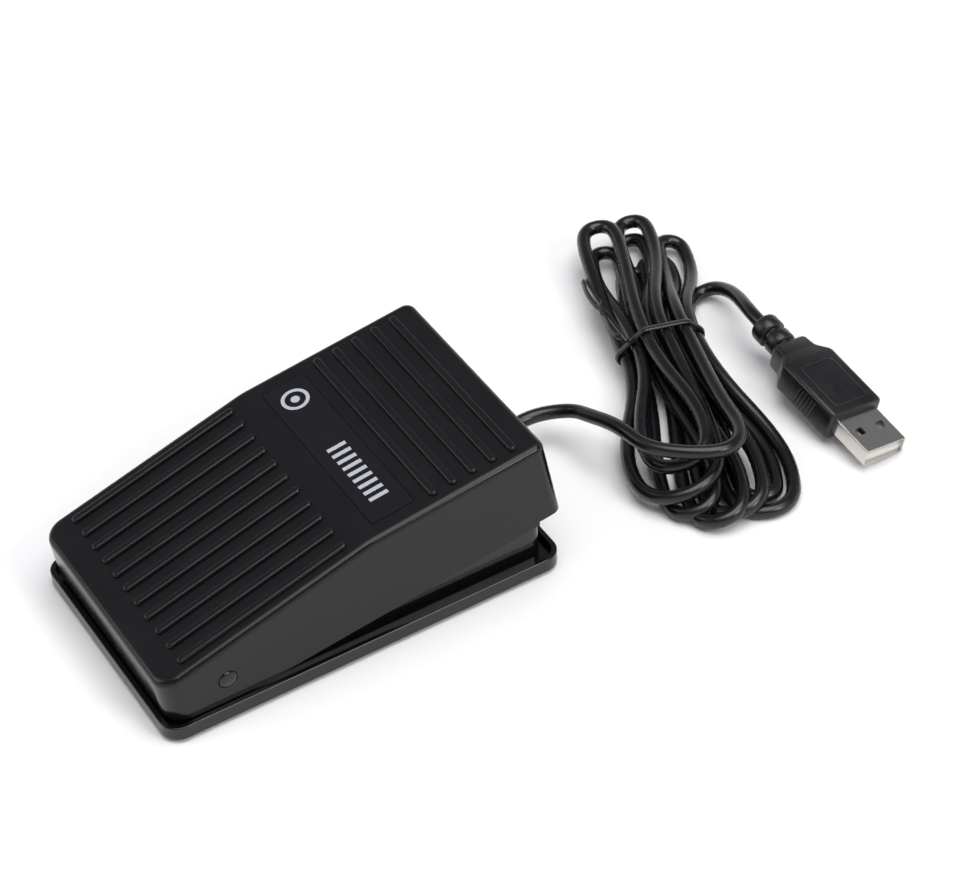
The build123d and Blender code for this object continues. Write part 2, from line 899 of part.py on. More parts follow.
def corner_radii(points):
    """For each corner 0.45 of its shorter run over the tangent of half its turn."""
    radii = []
    for before, corner, after in zip(points, points[1:], points[2:]):
        leg = min((corner - before).length, (after - corner).length)
        turn = radians((corner - before).get_angle(after - corner))
        radii.append(0.45 * leg / tan(turn / 2))
    return radii


def cord_tube(name, points):
    radii = corner_radii(points)
    path = FilletPolyline(*points, radius=radii)
    solid = tube(path, cord_radius)
    share = solid.volume / (pi * cord_radius**2 * path.length)
    shown = [round(radius, 1) for radius in radii]
    print(name, "radii", shown, "length", round(path.length, 1), "volume share", round(share, 4))
    return solid


def lead_out_points(hank_start, hank_start_way):
    """From the bush in the rear wall, back over the floor and up on to the hank."""
    outlet = Vector(cable_x, upstand_rear + bush_flange, cable_z)
    return [
        outlet,
        outlet + Vector(0, 8.3, 0),
        outlet + Vector(-2.0, 18.7, 0),
        hank_start - hank_start_way * 7.2,
        hank_start,
    ]


def to_plug_points(hank_end, hank_end_way, relief_end, relief_way):
    """From under the hank round to the back of the plug."""
    return [
        hank_end,
        hank_end + hank_end_way * 5.0,
        hank_place(-18.5, 10.8, 2.1),
        hank_place(-21.6, 16.3, 2.3),
        hank_place(-17.8, 21.3, 3.8),
        relief_end - relief_way * 9.3 + Vector(0, 1.0, -0.6),
        relief_end - relief_way * 4.5,
        relief_end,
    ]


def cord_tie():
    """A band round the hank's waist with its ends twisted together and one long tail."""
    left = -(waist_inner + 4 * waist_step + cord_radius + tie_gap)
    right = waist_inner + 3 * waist_step + cord_radius + tie_gap
    low = layer_height(0) + waist_lift - cord_radius - tie_gap
    high = layer_height(3) + waist_lift + cord_radius + tie_gap
    width = right - left
    height = high - low
    middle = waist_place((left + right) / 2, 0)
    middle.Z = (low + high) / 2
    outer = RectangleRounded(width + 2 * tie_thickness, height + 2 * tie_thickness, tie_corner)
    inner = RectangleRounded(width, height, tie_corner - tie_thickness)
    across = waist_way(1, 0).rotate(Axis.Z, 90)
    band = Plane(origin=middle, x_dir=across, z_dir=waist_way(-1, 0)) * extrude(
        outer - inner, amount=tie_width / 2, both=True
    )
    tail_way = hank_way(-1, -0.25, 0.05)
    twist_start = waist_place(left + 4.0, 0) + waist_way(1, 0)
    twist_start.Z = high + tie_thickness + 0.3
    tail_start = twist_start + tail_way * (tie_twist_length - 1)
    twist = rod(twist_start, tail_way, tie_twist_radius, tie_twist_length)
    return band + twist + rod(tail_start, tail_way, tie_tail_radius, tie_tail)


# Plug, in its own place with its shell towards +X, then laid where it lies

def plug_place():
    lie = Rot(0, 0, plug_yaw) * Rot(0, plug_dip, 0) * Rot(plug_roll, 0, 0)
    return Location((plug_x, plug_y, plug_z)) * lie


def plug_overmould():
    plan = Polyline(
        (0, -plug_half_width),
        (0, plug_half_width),
        (-plug_body, plug_half_width),
        (-plug_neck, plug_neck_half_width),
        (-plug_neck, -plug_neck_half_width),
        (-plug_body, -plug_half_width),
        close=True,
    )
    body = extrude(make_face(plan), amount=plug_height / 2, both=True)
    side = Polyline(
        (1, -plug_height / 2),
        (1, plug_height / 2),
        (-plug_body, plug_height / 2),
        (-plug_neck, plug_neck_height / 2),
        (-plug_neck, -plug_neck_height / 2),
        (-plug_body, -plug_height / 2),
        close=True,
    )
    body &= extrude(Plane.XZ * make_face(side), amount=plug_half_width + 1, both=True)
    body = fillet(body.edges().filter_by(Axis.X), plug_round)
    body -= panel_groove() + grip_grooves()
    body += strain_relief()
    body -= rod((-plug_neck - relief_length - 1, 0, 0), (1, 0, 0), cord_radius + screw_gap, 0.99)
    return body - Pos(-shell_inside / 2, 0, 0) * Box(shell_inside, shell_width, shell_height)


def panel_groove():
    """The line round the plain panel on the plug's upper face."""
    place = Pos(-plug_body / 2 - 1.0, 0, plug_height / 2)
    outer = RectangleRounded(panel_length + 2 * panel_line, panel_width + 2 * panel_line, 2.0)
    inner = RectangleRounded(panel_length, panel_width, 2.0 - panel_line)
    return extrude(place * (outer - inner), amount=panel_depth, both=True)


def grip_grooves():
    """Slanted grooves for the fingers down both sides of the plug."""
    groove = Rot(0, grip_slant, 0) * Box(0.5, 0.8, plug_height - 3)
    grooves = []
    for index in range(grip_count):
        x = -grip_start - index * grip_pitch
        grooves += [Pos(x, side * plug_half_width, 0) * groove for side in (-1, 1)]
    return grooves[0] + grooves[1:]


def strain_relief():
    """Fat rings and grooves behind the plug's neck, turned about the cord, the last the largest."""
    width = relief_length / relief_rings - relief_groove
    core = rod((-plug_neck + 0.5, 0, 0), (-1, 0, 0), relief_groove_radius, relief_length + 0.5)
    for index in range(relief_rings):
        start = -plug_neck - relief_groove - index * (width + relief_groove)
        growth = index / max(relief_rings - 1, 1)
        radius = relief_front_radius + (relief_rear_radius - relief_front_radius) * growth
        ring = rod((start, 0, 0), (-1, 0, 0), radius, width)
        core += fillet(ring.edges().filter_by(GeomType.CIRCLE), width * 0.35)
    return core


def plug_shell():
    length = shell_length + shell_inside
    middle = (shell_length - shell_inside) / 2
    shell = Pos(middle, 0, 0) * Box(length, shell_width, shell_height)
    shell = fillet(shell.edges().filter_by(Axis.X), 0.35)
    hollow = Box(length + 2, shell_width - 2 * shell_wall, shell_height - 2 * shell_wall)
    shell -= Pos(middle, 0, 0) * hollow
    window = Box(shell_window, shell_window, 2 * shell_wall + 0.4)
    for y in (-shell_window_y, shell_window_y):
        for z in (-shell_height / 2, shell_height / 2):
            shell -= Pos(shell_window_x, y, z) * window
    return shell


def plug_tongue():
    width = shell_width - 2 * shell_wall
    inside = shell_height / 2 - shell_wall
    length = shell_length - tongue_short
    tongue = Pos(length / 2, 0, -inside + tongue_height / 2) * Box(length, width, tongue_height)
    front_edge = tongue.faces().sort_by(Axis.X)[-1].edges().filter_by(Axis.Y).sort_by(Axis.Z)[-1]
    tongue = chamfer(front_edge, 0.4)
    return tongue + Pos(-shell_inside / 2, 0, 0) * Box(shell_inside, width, 2 * inside)


def plug_contacts():
    """Four flat strips on the tongue, the outer two longer."""
    top = -(shell_height / 2 - shell_wall) + tongue_height
    front = shell_length - tongue_short - 1.0
    strips = []
    for y, extra in contact_places:
        length = contact_length + extra
        strip = Box(length, contact_width, contact_thickness)
        strips.append(Pos(front - length / 2, y, top + contact_thickness / 2) * strip)
    return strips


# The lead's bush and clamp, and its four wires

def cable_bush():
    """A flanged sleeve round the lead in the upstand's rear wall."""
    inside = upstand_rear - upstand_wall
    bush = cable_hole(inside - bush_flange, upstand_wall + 2 * bush_flange, bush_radius)
    bush += cable_hole(upstand_rear, bush_flange, bush_flange_radius)
    bush += cable_hole(inside - bush_flange, bush_flange, bush_flange_radius)
    return bush - cable_hole(inside - 2 * bush_flange, upstand_wall + 4 * bush_flange, cord_radius + screw_gap)


def clamp_seats():
    y = clamp_front + clamp_length / 2
    top = cable_z + clamp_gap / 2 + clamp_thickness
    return [(cable_x + side * clamp_screw_offset, y, top) for side in (-1, 1)]


def cable_clamp():
    clamp = Box(2 * clamp_half_width, clamp_length, clamp_thickness)
    middle = cable_z + (clamp_gap + clamp_thickness) / 2
    clamp = Pos(cable_x, clamp_front + clamp_length / 2, middle) * clamp
    clamp = fillet(clamp.edges().filter_by(Axis.Y).sort_by(Axis.Z)[-2:], 0.8)
    clamp -= cable_hole(clamp_front - 1, clamp_length + 2, cord_radius + screw_gap)
    for seat in clamp_seats():
        clamp -= rod(seat, (0, 0, -1), screw_radius + screw_gap, clamp_thickness + 1)
    return clamp


def lead_wire(side, x):
    """One wire from the end of the cable's jacket to its place in the header."""
    across, up = side
    start_x = cable_x + across * lead_offset_across
    start_z = cable_z + up * lead_offset_up
    header_back = header_middle() + header_length / 2
    header_z = board_top + header_height / 2
    straight = (cable_inside_end - header_back) * lead_straight_share
    route = [
        Vector(start_x, cable_inside_end - 0.05, start_z),
        Vector(start_x, cable_inside_end - straight, start_z),
        Vector(x, header_back + straight, header_z),
        Vector(x, header_back - 2.5, header_z),
    ]
    return tube(FilletPolyline(*route, radius=corner_radii(route)), lead_radius)


# Build and write every piece

write("base_tray", base_tray())
for name, x, y in foot_places():
    write(name, rubber_foot(x, y))
write("pedal_cover", to_rest(pedal_cover()))
write("label_plate", to_rest(label_block(0, label_thickness)))
write("circuit_board", circuit_board())
down = (0, 0, -1)
board_screws = [screw((x, y, board_top), down, screw_length) for x, y in board_screw_places()]
write("board_screws", group(board_screws))
write("switch_case", switch_case())
write("switch_lid", switch_block(switch_width / 2 - switch_cover_width, switch_width / 2))
write("switch_terminals", group(switch_pins()))
write("switch_plunger", switch_plunger())
write("switch_lever", switch_lever())
write("controller_chip", controller_chip())
write("crystal_can", crystal_can())
write("capacitors", group(capacitors()))
write("resistors", group(resistors()))
write("lead_header", lead_header())
write("return_spring", return_spring())
write("cable_bush", cable_bush())
jacket_length = upstand_rear + bush_flange - cable_inside_end
write("cable_end", cable_hole(cable_inside_end, jacket_length, cord_radius))
write("cable_clamp", cable_clamp())
clamp_screw_length = clamp_thickness + screw_length - 0.6
write("clamp_screws", group(screw(seat, down, clamp_screw_length) for seat in clamp_seats()))
for name, side, x in zip(lead_names, lead_sides, header_places()):
    write(name, lead_wire(side, x))

edges = hank_edges()
hank = Wire(edges)
hank_least = least_gap(edges, 1.2, 9.0, cord_diameter)
print("hank length", round(hank.length, 1), "least gap", round(hank_least, 2))
write("cord_hank", tube(hank, cord_radius))
write("cord_lead_out", cord_tube("lead out", lead_out_points(hank @ 0, hank % 0)))
place = plug_place()
relief_way = (place * Pos(1, 0, 0)).position - place.position
relief_end = place.position - relief_way * (plug_neck + relief_length)
way_round = to_plug_points(hank @ 1, hank % 1, relief_end, relief_way)
write("cord_to_plug", cord_tube("to plug", way_round))
write("cord_tie", cord_tie())

plug_pieces = {
    "plug_overmould": plug_overmould(),
    "plug_shell": plug_shell(),
    "plug_tongue": plug_tongue(),
}
for name, shape in plug_pieces.items():
    piece = place * shape
    print(name, "lowest", round(piece.bounding_box().min.Z, 2))
    write(name, piece)
write("plug_contacts", group(place * strip for strip in plug_contacts()))
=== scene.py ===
"""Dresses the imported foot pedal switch: its moulded plastics, its tied hank, its plug and its label."""

from math import cos, pi, radians, sin, sqrt

import bmesh
import bpy
from mathutils import Matrix, Vector


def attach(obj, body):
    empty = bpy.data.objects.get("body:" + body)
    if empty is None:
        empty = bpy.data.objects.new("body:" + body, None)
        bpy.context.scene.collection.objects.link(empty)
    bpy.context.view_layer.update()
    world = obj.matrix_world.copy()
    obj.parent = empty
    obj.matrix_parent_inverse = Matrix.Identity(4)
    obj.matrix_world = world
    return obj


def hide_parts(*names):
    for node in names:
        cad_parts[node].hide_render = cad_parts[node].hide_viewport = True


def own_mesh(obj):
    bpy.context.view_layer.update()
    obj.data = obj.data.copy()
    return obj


bl_info = {
    "name": "Foot Pedal Switch",
    "version": (1, 0, 0),
    "blender": (4, 5, 0),
    "location": "View3D > Sidebar > Foot switch",
    "description": "Cord, tie, label, finishes and studio for a foot pedal switch",
    "category": "Object",
}

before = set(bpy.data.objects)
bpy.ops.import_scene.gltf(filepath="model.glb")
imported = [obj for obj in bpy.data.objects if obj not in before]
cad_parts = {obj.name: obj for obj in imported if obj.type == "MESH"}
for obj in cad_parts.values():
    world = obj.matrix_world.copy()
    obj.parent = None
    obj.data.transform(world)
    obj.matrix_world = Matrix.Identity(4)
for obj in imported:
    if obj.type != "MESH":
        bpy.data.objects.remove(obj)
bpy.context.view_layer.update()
MM = 0.001

# Places that repeat the part's source, in metres
hinge_y = -0.0352
hinge_z = 0.0115
stud_face = 0.0304
rest_angle = radians(7.65)
pedal_top = 0.02715
break_y = 0.0045
label_start = 0.0035
label_width = 0.011
label_depth = 0.00035
label_thickness = 0.0004
cord_diameter = 0.0035
cord_exit = Vector((-0.0066, 0.0477, 0.0086))
hank_centre = Vector((-0.0143, 0.1083, 0.0))
hank_turn = radians(-22.6)
waist_along = 0.0010
waist_across = -0.0006
waist_slant = radians(6.0)
waist_lift = 0.0009
plug_place = (
    Matrix.Translation((0.0328, 0.1315, 0.00535))
    @ Matrix.Rotation(radians(2.0), 4, "Z")
    @ Matrix.Rotation(radians(7.6), 4, "Y")
    @ Matrix.Rotation(radians(-9.5), 4, "X")
)
relief_end = plug_place @ Vector((-0.0369, 0, 0))
plug_way = (plug_place.to_3x3() @ Vector((1, 0, 0))).normalized()

# The plug's body from the shell back to the neck: along, half width, half height and corner radius in mm
plug_sections = [
    (0.0, 7.2, 3.6, 0.7),
    (-0.25, 7.55, 3.95, 1.0),
    (-0.8, 7.75, 4.15, 1.2),
    (-19.0, 7.75, 4.15, 1.2),
    (-19.7, 7.55, 4.1, 1.2),
    (-22.2, 5.5, 3.75, 1.1),
    (-22.8, 5.2, 3.65, 1.1),
    (-26.0, 4.9, 3.45, 1.1),
    (-26.6, 4.6, 3.15, 1.0),
    (-26.9, 4.1, 2.7, 0.7),
]
plug_side = plug_sections[2][1]
plug_top = plug_sections[2][2]
# Its strain relief's outline: along and radius in mm
relief_outline = [
    (-26.5, 2.9), (-27.5, 2.9), (-27.7, 3.35), (-28.1, 3.6), (-30.7, 3.6), (-31.1, 3.35), (-31.3, 2.9),
    (-32.1, 2.9), (-32.3, 3.5), (-32.7, 3.8), (-35.4, 3.8), (-36.1, 3.55), (-36.7, 2.8), (-36.9, 2.1),
]
panel_middle = -9.4
panel_half_length = 7.2
panel_half_width = 4.9
panel_corner = 1.2
grip_count = 6
grip_start = -12.4
grip_pitch = 1.15
grip_half_height = 2.9
grip_lean = Vector((0.22, 0, 1)).normalized()
# A hinge stud's dome: how far out from stud_face and radius in mm
stud_outline = [(-0.3, 2.24), (0.22, 2.24), (0.42, 2.05), (0.62, 1.6), (0.76, 1.0), (0.82, 0.4)]

# The hank as the photograph shows it, in millimetres along, across and up from its middle. The values were
# typed from strands picked in the photograph, and some of the loops' were then moved, nearly all of them
# towards the result of a scratch fit that spreads the runs.
# Its runs go up on the left and down on the right. First where the lead crosses over it
crossing = [
    ((31.0, -21.0, 13.2), (0.76, 0.50, 0.30)),
    ((41.0, -15.0, 15.4), (0.86, 0.50, 0.0)),
    ((50.0, 2.0, 15.6), (0.1, 1.0, 0.0)),
    ((38.5, 10.2, 14.0), (-1.0, -0.2, -0.12)),
]
# Each loop's reach, its left and right sides across, and the heights of its left side, tip and right side
upper_loops = [
    (42.5, 6.2, 13.2, 4.5, 4.0, 3.0),
    (48.6, -3.4, 4.8, 6.5, 7.0, 7.5),
    (44.5, -13.0, -4.2, 9.5, 10.0, 10.5),
    (40.0, -11.5, -4.0, 5.0, 5.0, 5.0),
    (46.0, -4.0, 3.6, 2.5, 3.0, 4.0),
    (38.0, 1.0, 8.6, 1.8, 1.8, 1.8),
    (34.0, -5.0, 2.4, 1.8, 1.8, 1.8),
]
lower_loops = [
    (58.0, 5.0, 22.0, 1.8, 1.8, 1.8),
    (53.5, -15.5, 5.0, 4.0, 6.5, 9.0),
    (46.5, -11.5, 3.0, 7.5, 9.5, 11.5),
    (56.5, -9.0, 3.0, 1.8, 3.5, 5.4),
    (60.5, -4.0, 9.0, 1.8, 3.6, 5.4),
    (58.5, 0.0, 14.0, 1.8, 3.5, 5.4),
    (53.0, 9.0, 18.0, 1.8, 1.8, 1.8),
]
# How long a loop's round end is, in half widths
upper_length = 1.25
lower_length = 1.1
# Where each run passes the tie: across and up
waist_runs = [
    (6.0, 10.4), (8.6, 7.8), (1.2, 2.5), (1.2, 10.4), (-9.2, 5.1),
    (-3.6, 10.4), (-6.2, 7.8), (-3.8, 5.1), (-6.4, 2.5), (-1.2, 7.8),
    (-1.3, 2.5), (3.6, 7.8), (1.2, 5.1), (6.0, 5.1), (7.6, 2.5),
]
# The outermost of them, anticlockwise, that the tie goes round
outermost_runs = [8, 14, 1, 0, 5, 4]

# The tie's two ends, from the knot on the band to their tips, along, across and up from the hank's middle
tie_tail = [
    (3.4, -9.4, 12.2), (0.0, -11.2, 12.5), (-7.3, -12.9, 12.5), (-15.8, -14.9, 12.1), (-22.0, -15.6, 11.7),
]

# Where the lead goes between the base and the hank, and between the hank and the plug, in metres
lead_out_places = [Vector((-0.0066, 0.0560, 0.0086)), Vector((-0.0086, 0.0664, 0.0086))]
plug_lead_places = [
    Vector((-0.0287, 0.1259, 0.0022)),
    Vector((-0.0299, 0.1310, 0.0026)),
    Vector((-0.0268, 0.1337, 0.0044)),
    Vector((-0.0191, 0.1333, 0.0076)),
]

# The picture's camera, fitted to corners in it: its width and focal length in pixels, where it
# stands, and the directions to its right and down
picture_width = 980
focal_pixels = 3136.2
camera_place = Vector((0.4753, -0.2102, 0.5095))
camera_right = Vector((0.51717, 0.85461, -0.04658))
camera_down = Vector((0.5600, -0.3790, -0.7367))


def linear(hex_colour):
    """An sRGB hex colour as the linear values that a shader takes."""
    parts = [int(hex_colour[i : i + 2], 16) / 255 for i in (1, 3, 5)]
    return tuple(part / 12.92 if part <= 0.04045 else ((part + 0.055) / 1.055) ** 2.4 for part in parts)


# Helpers for nodes and meshes


def add_node(tree, kind, settings=None, links=None):
    """Adds a node, sets its properties and its sockets' values, and links its inputs."""
    node = tree.nodes.new(kind)
    for name, value in (settings or {}).items():
        if isinstance(name, str) and hasattr(node, name):
            setattr(node, name, value)
        else:
            node.inputs[name].default_value = value
    for name, source in (links or {}).items():
        tree.links.new(source, node.inputs[name])
    return node


def new_material(name, colour, settings):
    """A material with one Principled shader, its colour linear and its sockets as settings say."""
    material = bpy.data.materials.new(name)
    material.use_nodes = True
    tree = material.node_tree
    shader = tree.nodes["Principled BSDF"]
    shader.inputs["Base Color"].default_value = (*colour, 1)
    for socket, value in settings.items():
        shader.inputs[socket].default_value = value
    return material, tree, shader


def place_of(tree):
    return add_node(tree, "ShaderNodeTexCoord").outputs["Object"]


def noise(tree, place, size_mm, detail=2.0):
    """Noise whose lumps are about size_mm across."""
    settings = {"Scale": 1 / (size_mm * MM), "Detail": detail, "Roughness": 0.55}
    return add_node(tree, "ShaderNodeTexNoise", settings, {"Vector": place}).outputs["Fac"]


def spread(tree, source, low, high, from_low=0.3, from_high=0.7):
    """The source's values from from_low to from_high, laid out between low and high."""
    settings = {"From Min": from_low, "From Max": from_high, "To Min": low, "To Max": high}
    return add_node(tree, "ShaderNodeMapRange", settings, {"Value": source}).outputs["Result"]


def relief(tree, shader, height, depth_mm, strength=1.0):
    """Lifts the surface by height times depth_mm, as light sees it."""
    settings = {"Distance": depth_mm * MM, "Strength": strength}
    bump = add_node(tree, "ShaderNodeBump", settings, {"Height": height})
    tree.links.new(bump.outputs["Normal"], shader.inputs["Normal"])
    return bump


# Materials


def textured_abs(colour):
    """Black ABS from a spark-eroded mould: a satin top, with sides left smoother by the mould's polish."""
    material, tree, shader = new_material(
        "Moulded ABS, satin top", colour, {"IOR": 1.5, "Specular IOR Level": 0.34}
    )
    coordinates = add_node(tree, "ShaderNodeTexCoord")
    place = coordinates.outputs["Object"]
    facing = add_node(tree, "ShaderNodeSeparateXYZ", links={"Vector": coordinates.outputs["Normal"]})
    upward = spread(tree, facing.outputs["Z"], 0.0, 1.0, 0.75, 0.95)
    clouds = noise(tree, place, 9.0)
    side_roughness = spread(tree, clouds, 0.13, 0.18)
    top_roughness = spread(tree, clouds, 0.3, 0.36)
    mixed = add_node(
        tree, "ShaderNodeMix", links={0: upward, 2: side_roughness, 3: top_roughness}
    ).outputs[0]
    tree.links.new(mixed, shader.inputs["Roughness"])
    # Drawn coarser than a real grain, so that it shows
    grain = noise(tree, place, 0.25, 1.0)
    bump = relief(tree, shader, grain, 0.012)
    tree.links.new(spread(tree, upward, 0.12, 0.6, 0.0, 1.0), bump.inputs["Strength"])
    return material


def polished_abs(colour):
    """Black ABS from a polished mould: glossy, with the faint waviness of a cooled wall."""
    material, tree, shader = new_material("Moulded ABS, polished", colour, {"IOR": 1.5})
    place = place_of(tree)
    tree.links.new(spread(tree, noise(tree, place, 7.0), 0.1, 0.15), shader.inputs["Roughness"])
    relief(tree, shader, noise(tree, place, 6.0), 0.012, 0.5)
    return material


def label_film(colour):
    """Black polyester label under clear film: near a mirror, a little wavy where the glue holds it."""
    material, tree, shader = new_material("Polyester label film", colour, {"IOR": 1.6})
    place = place_of(tree)
    tree.links.new(spread(tree, noise(tree, place, 5.0), 0.1, 0.16), shader.inputs["Roughness"])
    relief(tree, shader, noise(tree, place, 8.0), 0.01, 0.6)
    return material


def screen_ink(colour):
    """Pale screen-printed ink: flat, with the mesh's slight unevenness."""
    material, tree, shader = new_material("Screen-printed ink", colour, {"IOR": 1.5, "Roughness": 0.45})
    relief(tree, shader, noise(tree, place_of(tree), 0.3), 0.004, 0.6)
    return material


def cord_pvc(colour):
    """Extruded PVC jacket: satin, with fine scuffs and slow swellings along its length."""
    material, tree, shader = new_material("Extruded PVC jacket", colour, {"IOR": 1.52})
    place = place_of(tree)
    tree.links.new(spread(tree, noise(tree, place, 3.5), 0.22, 0.31), shader.inputs["Roughness"])
    relief(tree, shader, noise(tree, place, 0.9), 0.006, 0.5)
    return material


def plug_pvc(colour):
    """Injection-moulded PVC: a little duller than the cord, with a fine moulded grain."""
    material, tree, shader = new_material("Moulded PVC plug body", colour, {"IOR": 1.52})
    place = place_of(tree)
    tree.links.new(spread(tree, noise(tree, place, 2.5), 0.3, 0.4), shader.inputs["Roughness"])
    relief(tree, shader, noise(tree, place, 0.25), 0.012, 0.6)
    return material


def foot_rubber(colour):
    """Cut rubber sheet: dull, with a fine ground face."""
    material, tree, shader = new_material("Ground rubber sheet", colour, {"IOR": 1.5})
    place = place_of(tree)
    tree.links.new(spread(tree, noise(tree, place, 1.5), 0.7, 0.85), shader.inputs["Roughness"])
    relief(tree, shader, noise(tree, place, 0.35), 0.04)
    return material


def bright_metal(name, colour, roughness, line_mm, depth_mm):
    """Metal with the fine lines that rolling or drawing leaves along it."""
    material, tree, shader = new_material(name, colour, {"Metallic": 1.0})
    place = place_of(tree)
    turned = add_node(tree, "ShaderNodeMapping", {"Scale": (1.0, 14.0, 14.0)}, {"Vector": place}).outputs[0]
    lines = noise(tree, turned, line_mm * 14, 3.0)
    tree.links.new(spread(tree, lines, roughness * 0.8, roughness * 1.25), shader.inputs["Roughness"])
    relief(tree, shader, lines, depth_mm, 0.5)
    return material


def small_plastic(name, colour, roughness, grain_mm=0.3):
    """A small moulded part, such as a switch case, a chip or a connector."""
    material, tree, shader = new_material(name, colour, {"IOR": 1.5})
    place = place_of(tree)
    tree.links.new(
        spread(tree, noise(tree, place, 2.0), roughness * 0.9, roughness * 1.15), shader.inputs["Roughness"]
    )
    relief(tree, shader, noise(tree, place, grain_mm), 0.01)
    return material


def solder_mask(colour):
    """Green solder mask over woven glass: glossy, with the weave just showing."""
    material, tree, shader = new_material(
        "Solder mask on glass cloth", colour, {"IOR": 1.5, "Roughness": 0.25}
    )
    place = place_of(tree)
    threads = {"Scale": 1 / (1.2 * MM), "Distortion": 1.5, "Detail": 1.0}
    weave = add_node(tree, "ShaderNodeTexWave", threads, {"Vector": place}).outputs["Fac"]
    relief(tree, shader, weave, 0.01, 0.4)
    return material


# Meshes


def finished(name, mesh, materials, body):
    """A piece at the origin with that mesh, riding on a body."""
    piece = bpy.data.objects.new(name, mesh)
    bpy.context.scene.collection.objects.link(piece)
    for material in materials:
        mesh.materials.append(material)
    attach(piece, body)
    return piece


def ribbon(shape, points, across_at, width, thickness, closed):
    """Adds a flat strip, thicker in its middle, along points; across_at gives its broad direction at each."""
    profile = [(-0.5, -0.25), (-0.2, -0.3), (0, -0.5), (0.2, -0.3), (0.5, -0.25)]
    profile += [(0.5, 0.25), (0.2, 0.3), (0, 0.5), (-0.2, 0.3), (-0.5, 0.25)]
    rings = []
    count = len(points)
    for index, point in enumerate(points):
        before = points[index - 1] if closed or index else point
        after = points[(index + 1) % count] if closed or index < count - 1 else point
        along = (after - before).normalized()
        across = across_at(index)
        across = (across - along * across.dot(along)).normalized()
        out = along.cross(across)
        rings.append(
            [shape.verts.new(point + across * a * width + out * b * thickness) for a, b in profile]
        )
    pairs = list(zip(rings, rings[1:]))
    if closed:
        pairs.append((rings[-1], rings[0]))
    sides = len(profile)
    for first, second in pairs:
        for index in range(sides):
            turn = (index + 1) % sides
            shape.faces.new((first[index], first[turn], second[turn], second[index]))
    if not closed:
        shape.faces.new(reversed(rings[0]))
        shape.faces.new(rings[-1])


def circle(radius, count=40):
    """Points round a circle, as (across, up)."""
    angles = [2 * pi * index / count for index in range(count)]
    return [(radius * cos(angle), radius * sin(angle)) for angle in angles]


def rounded_corners(wide, high, corner, steps=5):
    """Points round a rectangle with rounded corners, given its half sizes, as (across, up)."""
    points = []
    for quarter, (side, rise) in enumerate(((1, 1), (-1, 1), (-1, -1), (1, -1))):
        for step in range(steps + 1):
            angle = pi / 2 * (quarter + step / steps)
            points.append(
                (side * (wide - corner) + corner * cos(angle), rise * (high - corner) + corner * sin(angle))
            )
    return points


def loft(shape, rings):
    """Closed skin over rings of as many points each."""
    loops = [[shape.verts.new(point) for point in ring] for ring in rings]
    for first, second in zip(loops, loops[1:]):
        for index in range(len(first)):
            turn = (index + 1) % len(first)
            shape.faces.new((first[index], first[turn], second[turn], second[index]))
    shape.faces.new(loops[0])
    shape.faces.new(reversed(loops[-1]))


def band_points(centres, radius, steps):
    """A rubber band's path round circles that are given anticlockwise: their outer arcs, as (across, up)."""
    path = []
    count = len(centres)
    for index, centre in enumerate(centres):
        before = centres[index - 1]
        after = centres[(index + 1) % count]
        first = (centre - before).normalized()
        second = (after - centre).normalized()
        start = Vector((first.y, -first.x))
        turn = start.angle_signed(Vector((second.y, -second.x)))
        for step in range(steps + 1):
            angle = -turn * step / steps
            spoke = Vector(
                (start.x * cos(angle) - start.y * sin(angle), start.x * sin(angle) + start.y * cos(angle))
            )
            path.append(centre + spoke * radius)
    return path


def smooth_line(points, count):
    """Places along a smooth line through points."""
    line = bpy.data.curves.new("line", "CURVE")
    line.dimensions = "3D"
    line.resolution_u = count // (len(points) - 1)
    spline = line.splines.new("BEZIER")
    spline.bezier_points.add(len(points) - 1)
    for knot, place in zip(spline.bezier_points, points):
        knot.co = place
        knot.handle_left_type = "AUTO"
        knot.handle_right_type = "AUTO"
    holder = bpy.data.objects.new("line", line)
    mesh = bpy.data.meshes.new_from_object(holder)
    places = [vertex.co.copy() for vertex in mesh.vertices]
    bpy.data.objects.remove(holder)
    return places


def tail_turn(share):
    """How far the tie's ends have turned round each other: two crossings, near the knot and half way."""
    near = min(share / 0.2, 1.0) * pi
    half_way = min(max((share - 0.5) / 0.12, 0.0), 1.0) * pi
    return near + half_way


# The cord's route: out of the base, up on to the hank, round its loops and off to the plug


def hank_place(s, w, z):
    """From along, across and up in the hank to the object's own directions."""
    return hank_centre + Vector(
        (s * cos(hank_turn) - w * sin(hank_turn), s * sin(hank_turn) + w * cos(hank_turn), z)
    )


def hank_way(s, w, z):
    return (hank_place(s, w, z) - hank_centre).normalized()


def waist_place(across, up):
    """A place at the tie, whose runs go through it at a slant."""
    return hank_place(
        waist_along - across * sin(waist_slant), waist_across + across * cos(waist_slant), up + waist_lift
    )


def waist_way(going):
    return hank_way(going * cos(waist_slant), going * sin(waist_slant), 0)


def loop_stations(loop, end):
    """A loop's side, tip and other side as places and directions; end is -1 above and 1 below."""
    reach, left, right, left_up, tip_up, right_up = [size * MM for size in loop]
    half = (right - left) / 2
    side = end * (reach - half * (upper_length if end < 0 else lower_length))
    slope = (right_up - left_up) / (right - left)
    stations = [
        (hank_place(side, left, left_up), hank_way(-1, 0, 0)),
        (hank_place(end * reach, (left + right) / 2, tip_up), hank_way(0, 1, slope)),
        (hank_place(side, right, right_up), hank_way(1, 0, 0)),
    ]
    if end > 0:
        stations = [(place, way) for place, way in reversed(stations)]
        stations[1] = (stations[1][0], -stations[1][1])
    return stations


